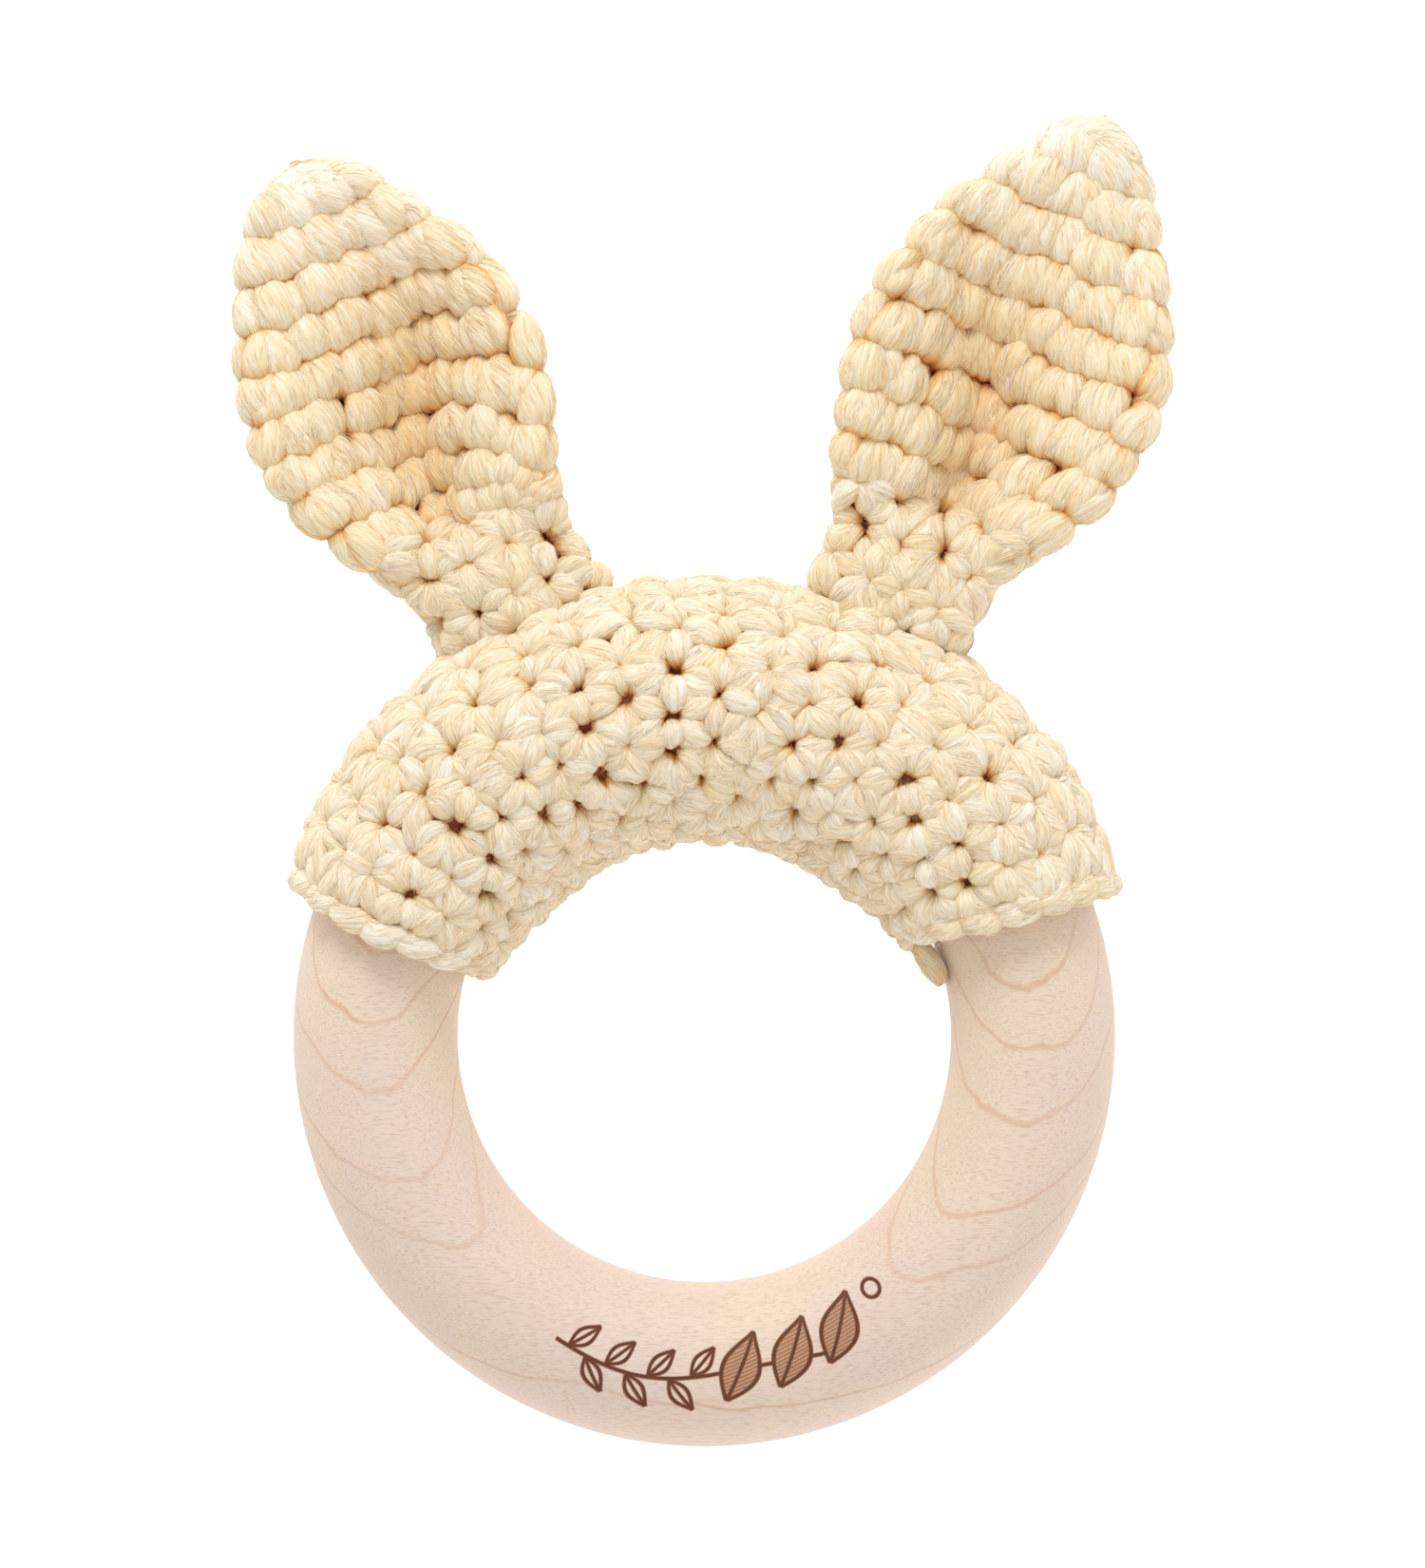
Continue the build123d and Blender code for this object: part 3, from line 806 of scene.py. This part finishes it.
def make_wood():
    """The turned ring, with a mesh fine enough at its lowest point for the burnt-in sprig."""
    theta = spread([(-54, 1.2), (241, 0.14), (306, 0)])
    phi = spread([(-90, 3), (54, 0.6), (126, 3), (270, 0)])
    theta, phi = np.meshgrid(theta, phi, indexing="ij")
    reach = RING_MID + RING_SECTION * np.cos(phi)
    x, y = reach * np.cos(theta), reach * np.sin(theta)
    mark = sprig((theta - radians(270)) * MARK_RADIUS, MARK_RADIUS - reach)
    mark = mark * (np.sin(phi) > 0) * (theta > radians(240))
    section = RING_SECTION - MARK_DEPTH * mark
    reach = RING_MID + section * np.cos(phi)
    vertices = np.stack([reach * np.cos(theta), reach * np.sin(theta), section * np.sin(phi)], -1)
    n, m = theta.shape
    index = np.arange(n * m).reshape(n, m)
    right, up = np.roll(index, -1, 0), np.roll(index, -1, 1)
    quads = np.stack([index, right, np.roll(right, -1, 1), up], -1).reshape(-1, 4)
    obj = make_mesh("maple_ring", vertices.reshape(-1, 3), quads, (), {"mark": mark.ravel()})
    obj.data.materials.append(wood_material())
    return obj


GRAIN_LEVELS = (-12.4, -4.0, -0.9, 3.75, 7.7, 11.2)
GRAIN_SPAN = 18.0


def wood_material():
    """Pale unvarnished maple: thin curved growth lines, short flecks along the grain, and the burnt sprig."""
    material, tree, shader = new_material("maple")
    where = node(tree, "ShaderNodeTexCoord").outputs["Object"]
    place = node(tree, "ShaderNodeVectorMath", {0: where, 1: (1000, 1000, 1000)}, operation="MULTIPLY").outputs[0]
    split = node(tree, "ShaderNodeSeparateXYZ", {0: place})
    slow = node(tree, "ShaderNodeTexNoise", {"Vector": place, "Scale": 0.07, "Detail": 2.0, "Roughness": 0.5})
    fast = node(tree, "ShaderNodeTexNoise", {"Vector": place, "Scale": 0.55, "Detail": 4.0, "Roughness": 0.6})

    def math(operation, a, b):
        return node(tree, "ShaderNodeMath", {0: a, 1: b}, operation=operation).outputs[0]

    level = math("ADD", split.outputs["Z"], math("MULTIPLY", split.outputs["Y"], 0.6))
    level = math("ADD", level, math("MULTIPLY", split.outputs["X"], 0.023))
    level = math("ADD", level, math("MULTIPLY", slow.outputs["Fac"], 5.0))
    level = math("ADD", level, math("MULTIPLY", fast.outputs["Fac"], 0.6))
    share = math("DIVIDE", math("ADD", level, GRAIN_SPAN - 2.8), 2 * GRAIN_SPAN)
    stops = [(0.0, (0, 0, 0))]
    for value in GRAIN_LEVELS:
        at = (value + GRAIN_SPAN) / (2 * GRAIN_SPAN)
        stops += [(at - 0.006, (0, 0, 0)), (at, (1, 1, 1)), (at + 0.003, (0, 0, 0))]
    lines = ramp(tree, share, stops)
    along = node(tree, "ShaderNodeVectorMath", {0: place, 1: (1.0, 7.5, 7.5)}, operation="MULTIPLY").outputs[0]
    fleck = node(tree, "ShaderNodeTexNoise", {"Vector": along, "Scale": 1.0, "Detail": 2.0, "Roughness": 0.6})
    blotch = node(tree, "ShaderNodeTexNoise", {"Vector": place, "Scale": 0.12, "Detail": 2.0})
    # the colour runs a little pinker towards the ring's bottom and yellower towards its top
    height = math("MULTIPLY", split.outputs["Y"], 0.006)
    yellow = math("ADD", blotch.outputs["Fac"], height)
    colour = ramp(tree, yellow, [(0.25, (0.725, 0.575, 0.488)), (0.60, (0.750, 0.605, 0.465))])
    flecks = ramp(tree, fleck.outputs["Fac"],
                  [(0.32, (0.88, 0.80, 0.74)), (0.47, (1, 1, 1)), (0.64, (1.04, 1.04, 1.04))])
    colour = mix_colour(tree, 1.0, colour, flecks, "MULTIPLY")
    patchy = ramp(tree, blotch.outputs["Fac"], [(0.35, (0.36, 0.36, 0.36)), (0.62, (0.78, 0.78, 0.78))])
    colour = mix_colour(tree, math("MULTIPLY", lines, patchy), colour, (0.60, 0.31, 0.17))
    mark = node(tree, "ShaderNodeAttribute", attribute_name="mark").outputs["Fac"]
    burnt = ramp(tree, mark, [(0.0, (1, 1, 1)), (0.22, (0.72, 0.52, 0.38)), (0.6, (0.45, 0.25, 0.15)), (1.0, (0.17, 0.07, 0.035))])
    colour = mix_colour(tree, 1.0, colour, burnt, "MULTIPLY")
    tree.links.new(colour, shader.inputs["Base Color"])
    bump = node(tree, "ShaderNodeBump", {"Height": fleck.outputs["Fac"], "Strength": 0.35, "Distance": 0.05 * MM})
    tree.links.new(bump.outputs["Normal"], shader.inputs["Normal"])
    shader.inputs["Roughness"].default_value = 0.55
    shader.inputs["Specular IOR Level"].default_value = 0.3
    return material


# ---------------------------------------------------------------- stage

def make_camera():
    """Straight down on the front face, from far enough that the view is nearly parallel."""
    distance = 0.80
    view_height = 0.13353
    data = bpy.data.cameras.new("camera")
    data.sensor_width = 36.0
    data.lens = data.sensor_width * distance / view_height
    data.clip_end = 10
    camera = bpy.data.objects.new("camera", data)
    camera.location = (0.0007, 0.0214, distance)
    bpy.context.scene.collection.objects.link(camera)
    bpy.context.scene.camera = camera


def make_light(name, place, size, power, colour=(1, 1, 1)):
    data = bpy.data.lights.new(name, "AREA")
    data.shape = "DISK"
    data.size = size
    data.energy = power
    data.color = colour
    light = bpy.data.objects.new(name, data)
    light.location = place
    light.rotation_euler = (Vector((0, 0.02, 0)) - Vector(place)).to_track_quat("-Z", "Y").to_euler()
    bpy.context.scene.collection.objects.link(light)


FLOOR_DROP = 0.05                # metres from the ring down to the floor, so that the ears can bend back over it


def make_stage():
    """A white floor and backdrop, soft lights and a pale surround."""
    bpy.ops.mesh.primitive_plane_add(size=4, location=(0, 0, cad_low.z - FLOOR_DROP))
    floor = bpy.context.object
    floor.name = "floor"
    bpy.ops.mesh.primitive_cylinder_add(radius=1.99, depth=0.5, end_fill_type="NOTHING", location=(0, 0, 0.15))
    backdrop = bpy.context.object
    backdrop.name = "backdrop"
    material, tree, shader = new_material("floor")
    shader.inputs["Base Color"].default_value = (0.6, 0.6, 0.6, 1)
    shader.inputs["Roughness"].default_value = 0.9
    shader.inputs["Specular IOR Level"].default_value = 0.0
    shader.inputs["Emission Color"].default_value = (1, 1, 1, 1)
    shader.inputs["Emission Strength"].default_value = 0.66
    for piece in (floor, backdrop):
        piece.data.materials.append(material)
    make_light("key", (-0.12, 0.63, 0.42), 0.34, 3.2, (0.97, 0.99, 1.03))
    make_light("fill", (0.25, -0.40, 0.50), 0.60, 1.1, (0.97, 0.99, 1.06))
    world = bpy.data.worlds.new("world")
    bpy.context.scene.world = world
    world.use_nodes = True
    world.node_tree.nodes["Background"].inputs[0].default_value = (1.0, 0.985, 0.965, 1)
    world.node_tree.nodes["Background"].inputs[1].default_value = 0.66
    bpy.context.scene.view_settings.view_transform = "Standard"


make_camera()
make_stage()

yarn_look = yarn_material()
shade_sheet_look = shade_sheet_material()

wood = make_wood()
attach(wood, "ring")
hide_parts("wooden_ring")

cover = make_cover(yarn_look)
cover_ground = make_cover_ground(shade_sheet_look)
seam = make_seam(yarn_look)
tail = make_tail(yarn_look)
for piece in (cover, cover_ground, seam, tail):
    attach(piece, "cover")
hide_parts("crochet_cover")
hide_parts("cover_seam")
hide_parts("seam_tail")

for name, ear in (("left_ear", LEFT_EAR), ("right_ear", RIGHT_EAR)):
    crochet = make_ear(f"{name}_crochet", ear, yarn_look)
    ground = make_ear_ground(f"{name}_ground", ear, shade_sheet_look)
    stitching = make_ear_stitching(f"{name}_root_yarn", ear, yarn_look)
    for piece in (crochet, ground):
        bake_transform(piece)
    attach(stitching, "cover")
    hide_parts(name)
    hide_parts(f"{name}_stitching")
